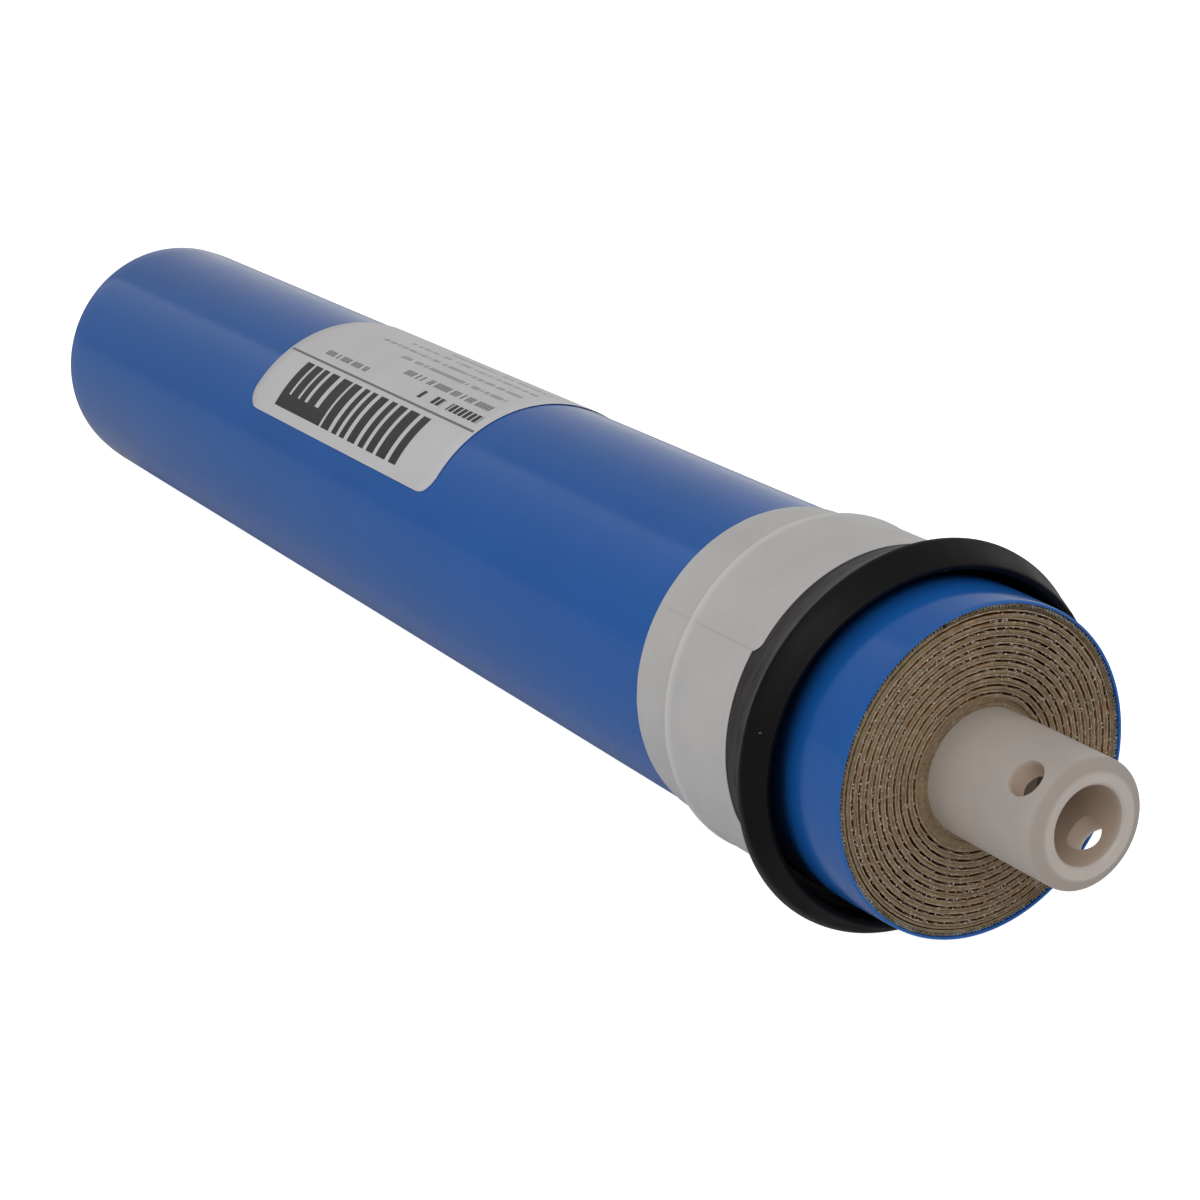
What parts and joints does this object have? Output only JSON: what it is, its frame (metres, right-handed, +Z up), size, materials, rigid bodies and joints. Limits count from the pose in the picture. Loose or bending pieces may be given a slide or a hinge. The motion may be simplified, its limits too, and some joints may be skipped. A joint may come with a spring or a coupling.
{
  "type": "reverse osmosis membrane element",
  "caption": "Spiral-wound reverse osmosis membrane element with a through permeate tube, a flared brine seal at the feed end and an O-ring spigot at the other.",
  "frame": {"origin": "on the tube's axis, at the middle of the overall length", "axes": "+X along the axis towards the feed end, which carries the brine seal and the cross-drilled tip; +Z up with the element lying on its side, the label on the upper side and leaning towards -Y"},
  "size_m": [0.298, 0.0534, 0.0534],
  "materials": {
    "tube_plastic": "pale warm grey, slightly translucent, satin",
    "plug_plastic": "pale grey, satin",
    "ring_rubber": "black, satin",
    "clear_tape": "thin adhesive film",
    "tricot": "fine knitted polyester, stiff",
    "cured_glue": "tan polyurethane, satin",
    "membrane": "thin coated sheet, satin",
    "spacer_mesh": "extruded polypropylene net",
    "closing_tape_film": "thin adhesive film",
    "blue_vinyl": "blue vinyl film, glossy",
    "seal_rubber": "black moulded rubber, satin",
    "white_tape": "white vinyl tape, satin",
    "label_paper": "white printed film, satin"
  },
  "bodies": {
    "root": {"core_tube": "tube_plastic", "tube_plug": "plug_plastic", "o_ring_inner": "ring_rubber", "o_ring_outer": "ring_rubber", "carrier_tape": "clear_tape", "permeate_carrier": "tricot", "glue_line": "cured_glue", "membrane_leaf": "membrane", "feed_spacer": "spacer_mesh", "closing_tape": "closing_tape_film", "outer_wrap": "blue_vinyl", "brine_seal": "seal_rubber", "seal_tape": "white_tape", "label": "label_paper"}
  },
  "joints": []
}
